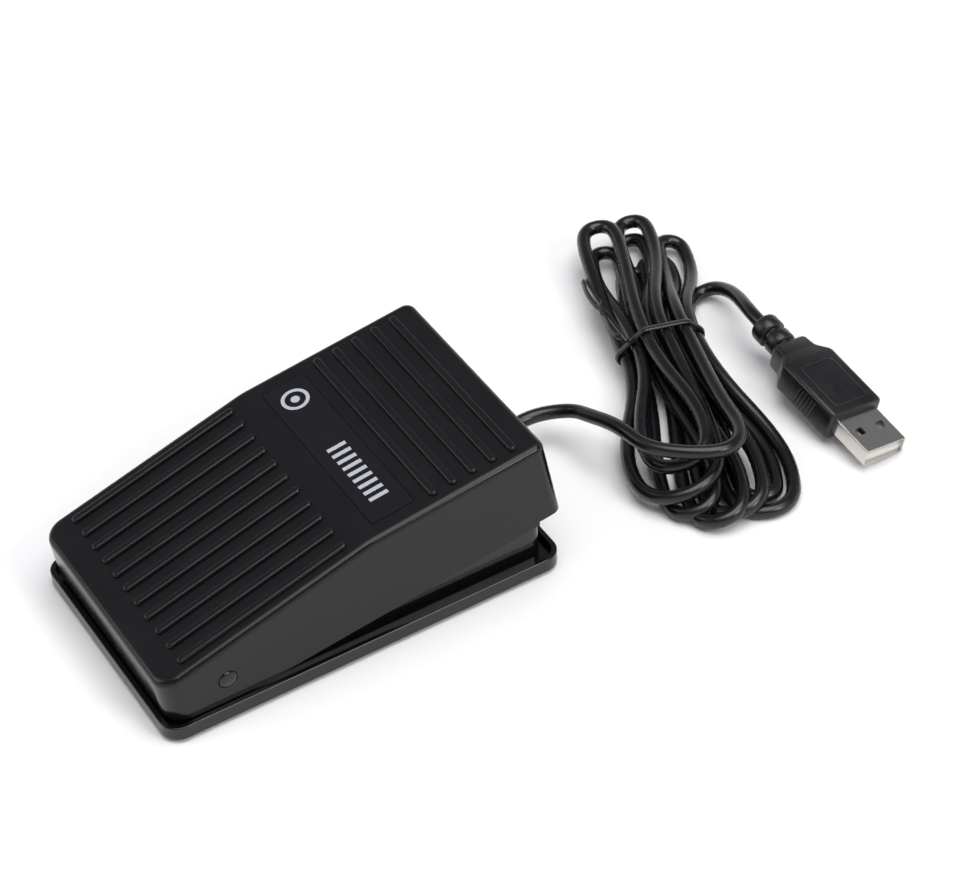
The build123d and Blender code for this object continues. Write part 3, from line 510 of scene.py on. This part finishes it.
def hank_stations():
    """Places and directions along the hank, from the lead's crossing to the way out to the plug."""
    stations = [
        (hank_place(*(part * MM for part in place)), hank_way(*way)) for place, way in crossing
    ]
    for run, (across, up) in enumerate(waist_runs):
        going = -1 if run % 2 == 0 else 1
        stations.append((waist_place(across * MM, up * MM), waist_way(going)))
        if run < len(waist_runs) - 1:
            loop = upper_loops[run // 2] if going < 0 else lower_loops[run // 2]
            stations += loop_stations(loop, going)
    way_out = hank_way(-1, 0.15, 0)
    stations.append((stations[-1][0] + way_out * 0.0065, way_out))
    return stations


def bend_points(start, start_way, end, end_way):
    """The two points between which a line passes when it leaves start and reaches end along those ways."""
    span = end - start
    ways = start_way + end_way
    bend = 2 * (1 - start_way.dot(end_way))
    if bend < 1e-9:
        reach = span.dot(span) / (4 * span.dot(end_way))
    else:
        lean = span.dot(ways)
        reach = (sqrt(lean**2 + bend * span.dot(span)) - lean) / bend
    return [start + start_way * reach, end - end_way * reach]


def cord_route():
    """The control points of the whole cord."""
    stations = hank_stations()
    first, first_way = stations[0]
    last, last_way = stations[-1]
    hank_start = first - first_way * cord_diameter
    hank_end = last + last_way * cord_diameter
    route = [
        cord_exit,
        *lead_out_places,
        hank_start - first_way * 0.0072,
        hank_start,
    ]
    for (start, start_way), (end, end_way) in zip(stations, stations[1:]):
        route += bend_points(start, start_way, end, end_way)
    route += [
        hank_end,
        hank_end + last_way * 0.0050,
        *plug_lead_places,
        relief_end - plug_way * 0.0045,
        relief_end,
    ]
    return route


# Settings that a user would change


class FootSwitchSettings(bpy.types.PropertyGroup):
    """Sizes and colours of the foot switch's dressing"""

    tie_width: bpy.props.FloatProperty(
        name="Tie width", description="Width of the tie's strip", default=0.0016, unit="LENGTH"
    )
    tie_thickness: bpy.props.FloatProperty(
        name="Tie thickness", description="Thickness of the tie over its wire", default=0.0008, unit="LENGTH"
    )
    tick_count: bpy.props.IntProperty(
        name="Ticks", description="Number of ticks printed on the label", default=9, min=2
    )
    tick_pitch: bpy.props.FloatProperty(
        name="Tick pitch", description="From one printed tick to the next", default=0.0024, unit="LENGTH"
    )
    plastic: bpy.props.FloatVectorProperty(
        name="Plastic", description="Colour of the pedal and base", default=linear("#0f0f12"), subtype="COLOR"
    )
    cord: bpy.props.FloatVectorProperty(
        name="Cord", description="Colour of the cord and plug", default=linear("#0c0c0f"), subtype="COLOR"
    )
    film: bpy.props.FloatVectorProperty(
        name="Label", description="Colour of the label's film", default=linear("#101015"), subtype="COLOR"
    )
    ink: bpy.props.FloatVectorProperty(
        name="Ink", description="Colour of the label's print", default=linear("#b4b7bf"), subtype="COLOR"
    )
    floor: bpy.props.FloatVectorProperty(
        name="Floor", description="Colour of the studio's floor", default=linear("#fcfcfc"), subtype="COLOR"
    )


def settings():
    return bpy.context.scene.foot_switch


# Operators


class FOOTSWITCH_OT_stage(bpy.types.Operator):
    """Sets up the camera, the pale floor, the sky and the soft lights"""

    bl_idname = "footswitch.stage"
    bl_label = "Studio"

    def execute(self, context):
        scene = context.scene
        scene.view_settings.view_transform = "Standard"
        lens = bpy.data.cameras.new("Picture camera")
        lens.sensor_width = 36.0
        lens.lens = focal_pixels * lens.sensor_width / picture_width
        camera = bpy.data.objects.new("Picture camera", lens)
        scene.collection.objects.link(camera)
        right = camera_right.normalized()
        up = -(camera_down - right * camera_down.dot(right)).normalized()
        turn = Matrix((right, up, right.cross(up))).transposed()
        camera.matrix_world = Matrix.Translation(camera_place) @ turn.to_4x4()
        scene.camera = camera
        self.floor(scene)
        self.sky(scene)
        self.lights(scene)
        return {"FINISHED"}

    def floor(self, scene):
        mesh = bpy.data.meshes.new("Floor")
        half = 3.0
        mesh.from_pydata(
            [(-half, -half, 0), (half, -half, 0), (half, half, 0), (-half, half, 0)], [], [(0, 1, 2, 3)]
        )
        paper, tree, shader = new_material(
            "Matt background paper", tuple(settings().floor), {"Roughness": 0.9, "Specular IOR Level": 0.1}
        )
        relief(tree, shader, noise(tree, place_of(tree), 1.5), 0.02, 0.3)
        mesh.materials.append(paper)
        floor = bpy.data.objects.new("Floor", mesh)
        scene.collection.objects.link(floor)

    def sky(self, scene):
        """A room that is white near the floor and darker overhead."""
        world = bpy.data.worlds.new("Studio walls")
        scene.world = world
        world.use_nodes = True
        tree = world.node_tree
        direction = add_node(tree, "ShaderNodeTexCoord").outputs["Generated"]
        parts = add_node(tree, "ShaderNodeSeparateXYZ", links={"Vector": direction})
        level = spread(tree, parts.outputs["Z"], 0.0, 1.0, 0.0, 0.55)
        mixed = add_node(
            tree,
            "ShaderNodeMix",
            {"data_type": "RGBA", 6: (1.1, 1.1, 1.1, 1), 7: (0.2, 0.2, 0.22, 1)},
            {0: level},
        ).outputs[2]
        tree.links.new(mixed, tree.nodes["Background"].inputs["Color"])

    def lights(self, scene):
        target = Vector((0.0, 0.05, 0.02))
        lamps = [
            ("Overhead softbox", Vector((0.25, 0.15, 1.5)), 1.3, 19.0),
            ("Right softbox", Vector((1.12, 0.51, 1.06)), 0.45, 6.0),
            ("Front softbox", Vector((-0.7, -1.1, 0.9)), 0.8, 4.0),
        ]
        for name, place, size, power in lamps:
            lamp = bpy.data.lights.new(name, "AREA")
            lamp.size = size
            lamp.energy = power
            holder = bpy.data.objects.new(name, lamp)
            scene.collection.objects.link(holder)
            holder.location = place
            holder.rotation_euler = (target - place).to_track_quat("-Z", "Y").to_euler()


class FOOTSWITCH_OT_cord(bpy.types.Operator):
    """Lays the cord from the base through its hank to the plug"""

    bl_idname = "footswitch.cord"
    bl_label = "Cord"

    def execute(self, context):
        route = cord_route()
        line = bpy.data.curves.new("signal_cord", "CURVE")
        line.dimensions = "3D"
        line.bevel_depth = cord_diameter / 2
        line.bevel_resolution = 5
        line.resolution_u = 6
        line.use_fill_caps = True
        spline = line.splines.new("NURBS")
        spline.points.add(len(route) - 1)
        for point, place in zip(spline.points, route):
            point.co = (*place, 1)
        spline.order_u = 3
        spline.use_endpoint_u = True
        line.materials.append(cord_pvc(tuple(settings().cord)))
        cord = bpy.data.objects.new("signal_cord", line)
        context.scene.collection.objects.link(cord)
        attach(cord, "base")
        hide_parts("cord_lead_out", "cord_hank", "cord_to_plug")
        return {"FINISHED"}


class FOOTSWITCH_OT_plug(bpy.types.Operator):
    """Moulds the plug's body, its grips and the rings of its strain relief"""

    bl_idname = "footswitch.plug"
    bl_label = "Plug body"

    def execute(self, context):
        shape = bmesh.new()
        self.body(shape)
        self.rings(shape)
        self.panel(shape)
        self.grips(shape)
        bmesh.ops.recalc_face_normals(shape, faces=shape.faces)
        shape.transform(plug_place)
        mesh = bpy.data.meshes.new("plug_body")
        shape.to_mesh(mesh)
        shape.free()
        mesh.shade_smooth()
        mesh.set_sharp_from_angle(angle=radians(40))
        plug = finished("plug_body", mesh, [plug_pvc(tuple(settings().cord))], "base")
        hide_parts("plug_overmould")
        return {"FINISHED"}

    def body(self, shape):
        loft(
            shape,
            [
                [Vector((along, across, up)) * MM for across, up in rounded_corners(wide, high, corner)]
                for along, wide, high, corner in plug_sections
            ],
        )

    def rings(self, shape):
        loft(
            shape,
            [[Vector((along, *spoke)) * MM for spoke in circle(radius)] for along, radius in relief_outline],
        )

    def panel(self, shape):
        """The low step round the panel on the plug's top."""
        centre = Vector((panel_middle, 0, plug_top)) * MM
        corners = rounded_corners(panel_half_length, panel_half_width, panel_corner)
        line = [centre + Vector((along, across, 0)) * MM for along, across in corners]
        ribbon(shape, line, lambda index: line[index] - centre, 0.45 * MM, 0.2 * MM, True)

    def grips(self, shape):
        """Slanting ridges on both sides."""
        for side in (-1, 1):
            for index in range(grip_count):
                middle = Vector((grip_start + index * grip_pitch, side * plug_side, 0)) * MM
                half = grip_lean * grip_half_height * MM
                ends = [middle - half, middle + half]
                ribbon(shape, ends, lambda index: Vector((1, 0, 0)), 0.5 * MM, 0.4 * MM, False)


class FOOTSWITCH_OT_spring(bpy.types.Operator):
    """Puts a coil in the return spring's place"""

    bl_idname = "footswitch.spring"
    bl_label = "Return spring"

    def execute(self, context):
        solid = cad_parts["return_spring"]
        mesh = solid.data.copy()
        mesh.transform(solid.matrix_world)
        mesh.materials.clear()
        steel = bright_metal("Drawn spring steel", linear("#b9b9b6"), 0.3, 0.3, 0.01)
        coil = finished("spring_coil", mesh, [steel], "base")
        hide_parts("return_spring")
        low, high = (pick(vertex.co.z for vertex in mesh.vertices) for pick in (min, max))
        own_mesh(coil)
        return {"FINISHED"}


class FOOTSWITCH_OT_studs(bpy.types.Operator):
    """Rounds off the two studs that the pedal turns on"""

    bl_idname = "footswitch.studs"
    bl_label = "Hinge studs"

    def execute(self, context):
        shape = bmesh.new()
        for side in (-1, 1):
            centre = Vector((side * stud_face, hinge_y, hinge_z))
            rings = [
                [centre + Vector((side * out, *spoke)) * MM for spoke in circle(radius)]
                for out, radius in stud_outline
            ]
            loft(shape, rings)
        bmesh.ops.recalc_face_normals(shape, faces=shape.faces)
        mesh = bpy.data.meshes.new("hinge_stud_domes")
        shape.to_mesh(mesh)
        shape.free()
        mesh.shade_smooth()
        mesh.set_sharp_from_angle(angle=radians(50))
        finished("hinge_stud_domes", mesh, [polished_abs(tuple(settings().plastic))], "base")
        return {"FINISHED"}


class FOOTSWITCH_OT_tie(bpy.types.Operator):
    """Binds the hank's waist with a plastic-covered wire tie"""

    bl_idname = "footswitch.tie"
    bl_label = "Tie"

    def execute(self, context):
        width = settings().tie_width
        thickness = settings().tie_thickness
        shape = bmesh.new()
        centres = [Vector(waist_runs[run]) * MM for run in outermost_runs]
        radius = cord_diameter / 2 + thickness / 2
        band = [waist_place(across, up) for across, up in band_points(centres, radius, 6)]
        along = waist_way(1)
        ribbon(shape, band, lambda index: along, width, thickness, True)
        self.twist(shape, width, thickness)
        mesh = bpy.data.meshes.new("twist_tie")
        shape.to_mesh(mesh)
        shape.free()
        mesh.shade_smooth()
        wrap = small_plastic("Plastic-covered wire", linear("#131315"), 0.3)
        tie = finished("twist_tie", mesh, [wrap], "base")
        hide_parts("cord_tie")
        return {"FINISHED"}

    def twist(self, shape, width, thickness):
        """The two ends, crossed once over the band and again half way, lying along the leftmost run."""
        line = [hank_place(*(part * MM for part in place)) for place in tie_tail]
        middle = smooth_line(line, 40)
        count = len(middle)
        end_size = (width * 0.8, thickness * 0.8)
        for side in (-1, 1):
            points = []
            turns = []
            for index, place in enumerate(middle):
                after = middle[min(index + 1, count - 1)]
                before = middle[max(index - 1, 0)]
                along = (after - before).normalized()
                level = Vector((0, 0, 1)).cross(along).normalized()
                rise = along.cross(level)
                turn = tail_turn(index / (count - 1))
                apart = side * thickness * (0.55 + 0.5 * abs(sin(pi * index / (count - 1) * 2)))
                points.append(place + (level * cos(turn) + rise * sin(turn)) * apart)
                turns.append(level * sin(turn + 0.5) - rise * cos(turn + 0.5))
            ribbon(shape, points, lambda index, turns=turns: turns[index], *end_size, False)


class FOOTSWITCH_OT_label(bpy.types.Operator):
    """Prints plain marks on the label: a ring with a dot, and a row of ticks"""

    bl_idname = "footswitch.label"
    bl_label = "Label print"

    def execute(self, context):
        ink = screen_ink(tuple(settings().ink))
        middle = break_y + label_start + label_width / 2
        top = pedal_top - label_depth + label_thickness
        lift = 0.02 * MM
        hinge = Vector((0, hinge_y, hinge_z))
        swing = Matrix.Translation(hinge) @ Matrix.Rotation(rest_angle, 4, "X") @ Matrix.Translation(-hinge)
        place = swing @ Matrix.Translation((0, middle, top + lift))
        self.ring(place @ Matrix.Translation((-0.0195, 0, 0)), ink)
        self.ticks(context, place @ Matrix.Translation((0.0, 0, 0)), ink)
        return {"FINISHED"}

    def ring(self, place, ink):
        shape = bmesh.new()
        outer = [Vector((0.0034 * cos(pi * k / 24), 0.0034 * sin(pi * k / 24), 0)) for k in range(48)]
        outer_ring = [shape.verts.new(place @ point) for point in outer]
        inner_ring = [shape.verts.new(place @ (point * 0.74)) for point in outer]
        dot = [shape.verts.new(place @ (point * 0.32)) for point in outer]
        for index in range(48):
            turn = (index + 1) % 48
            shape.faces.new((outer_ring[index], outer_ring[turn], inner_ring[turn], inner_ring[index]))
        shape.faces.new(dot)
        mesh = bpy.data.meshes.new("label_ring")
        shape.to_mesh(mesh)
        shape.free()
        finished("label_ring", mesh, [ink], "pedal")

    def ticks(self, context, place, ink):
        """A row of ticks from a node tree, made a plain mesh."""
        tree = bpy.data.node_groups.new("Row of ticks", "GeometryNodeTree")
        tree.interface.new_socket("Geometry", in_out="OUTPUT", socket_type="NodeSocketGeometry")
        count = tree.interface.new_socket("Count", in_out="INPUT", socket_type="NodeSocketInt")
        pitch = tree.interface.new_socket("Pitch", in_out="INPUT", socket_type="NodeSocketFloat")
        given = add_node(tree, "NodeGroupInput")
        offset = add_node(tree, "ShaderNodeCombineXYZ", links={"X": given.outputs["Pitch"]})
        row = add_node(
            tree, "GeometryNodeMeshLine", links={"Count": given.outputs["Count"], "Offset": offset.outputs[0]}
        )
        tick = add_node(tree, "GeometryNodeMeshCube", {"Size": (0.0011, 0.0048, 0.00002)})
        rows = add_node(
            tree,
            "GeometryNodeInstanceOnPoints",
            links={"Points": row.outputs["Mesh"], "Instance": tick.outputs["Mesh"]},
        )
        real = add_node(tree, "GeometryNodeRealizeInstances", links={"Geometry": rows.outputs["Instances"]})
        inked = add_node(
            tree, "GeometryNodeSetMaterial", {"Material": ink}, {"Geometry": real.outputs["Geometry"]}
        )
        add_node(tree, "NodeGroupOutput", links={"Geometry": inked.outputs["Geometry"]})
        holder = bpy.data.objects.new("tick_row", bpy.data.meshes.new("tick_row"))
        context.scene.collection.objects.link(holder)
        modifier = holder.modifiers.new("Ticks", "NODES")
        modifier.node_group = tree
        modifier[count.identifier] = settings().tick_count
        modifier[pitch.identifier] = settings().tick_pitch
        context.view_layer.update()
        made = holder.evaluated_get(context.evaluated_depsgraph_get())
        mesh = bpy.data.meshes.new_from_object(made)
        bpy.data.objects.remove(holder)
        mesh.name = "label_ticks"
        mesh.transform(place)
        finished("label_ticks", mesh, [], "pedal")


class FOOTSWITCH_OT_finishes(bpy.types.Operator):
    """Gives every solid that stays its real finish"""

    bl_idname = "footswitch.finishes"
    bl_label = "Finishes"

    def execute(self, context):
        plastic = tuple(settings().plastic)
        polished = polished_abs(plastic)
        spring_steel = bright_metal("Drawn spring steel", linear("#b9b9b6"), 0.3, 0.3, 0.01)
        screw_steel = bright_metal("Zinc-plated steel", linear("#c3c4c2"), 0.35, 0.4, 0.01)
        pvc = plug_pvc(tuple(settings().cord))
        shell = bright_metal("Nickel-plated steel", linear("#cfccc6"), 0.2, 0.25, 0.006)
        tin = bright_metal("Drawn tin-plated can", linear("#c9cacb"), 0.28, 0.3, 0.008)
        case = small_plastic("Glass-filled PBT", linear("#1b1e24"), 0.45)
        chip = small_plastic("Epoxy package", linear("#17181a"), 0.5)
        rubber = foot_rubber(linear("#1b1b1c"))
        finishes = {
            "pedal_cover": textured_abs(plastic),
            "base_tray": polished,
            "cable_clamp": polished,
            "label_plate": label_film(tuple(settings().film)),
            "cable_bush": pvc,
            "cable_end": pvc,
            "plug_shell": shell,
            "plug_tongue": small_plastic("Liquid-crystal polymer", linear("#e9e7e1"), 0.4),
            "plug_contacts": bright_metal("Gold-plated bronze", linear("#d9b45c"), 0.22, 0.25, 0.005),
            "switch_lever": spring_steel,
            "switch_terminals": spring_steel,
            "board_screws": screw_steel,
            "clamp_screws": screw_steel,
            "switch_case": case,
            "switch_lid": case,
            "switch_plunger": small_plastic("Red acetal", linear("#a3231c"), 0.35),
            "circuit_board": solder_mask(linear("#1d6b3c")),
            "controller_chip": chip,
            "resistors": chip,
            "crystal_can": tin,
            "capacitors": tin,
            "lead_header": small_plastic("Natural nylon", linear("#e6e2d6"), 0.45),
            "lead_red": small_plastic("Red PVC insulation", linear("#b3261e"), 0.35),
            "lead_white": small_plastic("White PVC insulation", linear("#e4e2dc"), 0.35),
            "lead_green": small_plastic("Green PVC insulation", linear("#2c7a3c"), 0.35),
            "lead_black": small_plastic("Black PVC insulation", linear("#19191a"), 0.35),
        }
        for corner in ("front_left", "front_right", "rear_left", "rear_right"):
            finishes["rubber_foot_" + corner] = rubber
        for node, material in finishes.items():
            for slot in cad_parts[node].material_slots:
                slot.material = material
        return {"FINISHED"}


class FOOTSWITCH_PT_panel(bpy.types.Panel):
    """Lists the foot switch's steps and settings"""

    bl_idname = "FOOTSWITCH_PT_panel"
    bl_label = "Foot switch"
    bl_space_type = "VIEW_3D"
    bl_region_type = "UI"
    bl_category = "Foot switch"

    def draw(self, context):
        for step in STEPS:
            self.layout.operator(step.bl_idname)
        for name in FootSwitchSettings.__annotations__:
            self.layout.prop(context.scene.foot_switch, name)


STEPS = (
    FOOTSWITCH_OT_stage,
    FOOTSWITCH_OT_plug,
    FOOTSWITCH_OT_spring,
    FOOTSWITCH_OT_studs,
    FOOTSWITCH_OT_tie,
    FOOTSWITCH_OT_cord,
    FOOTSWITCH_OT_label,
    FOOTSWITCH_OT_finishes,
)
CLASSES = (FootSwitchSettings, *STEPS, FOOTSWITCH_PT_panel)


def register():
    for kind in CLASSES:
        bpy.utils.register_class(kind)
    bpy.types.Scene.foot_switch = bpy.props.PointerProperty(type=FootSwitchSettings)


def unregister():
    del bpy.types.Scene.foot_switch
    for kind in reversed(CLASSES):
        bpy.utils.unregister_class(kind)


def main():
    register()
    bpy.ops.footswitch.stage()
    bpy.ops.footswitch.plug()
    bpy.ops.footswitch.spring()
    bpy.ops.footswitch.studs()
    bpy.ops.footswitch.tie()
    bpy.ops.footswitch.cord()
    bpy.ops.footswitch.label()
    bpy.ops.footswitch.finishes()


if __name__ == "__main__":
    main()
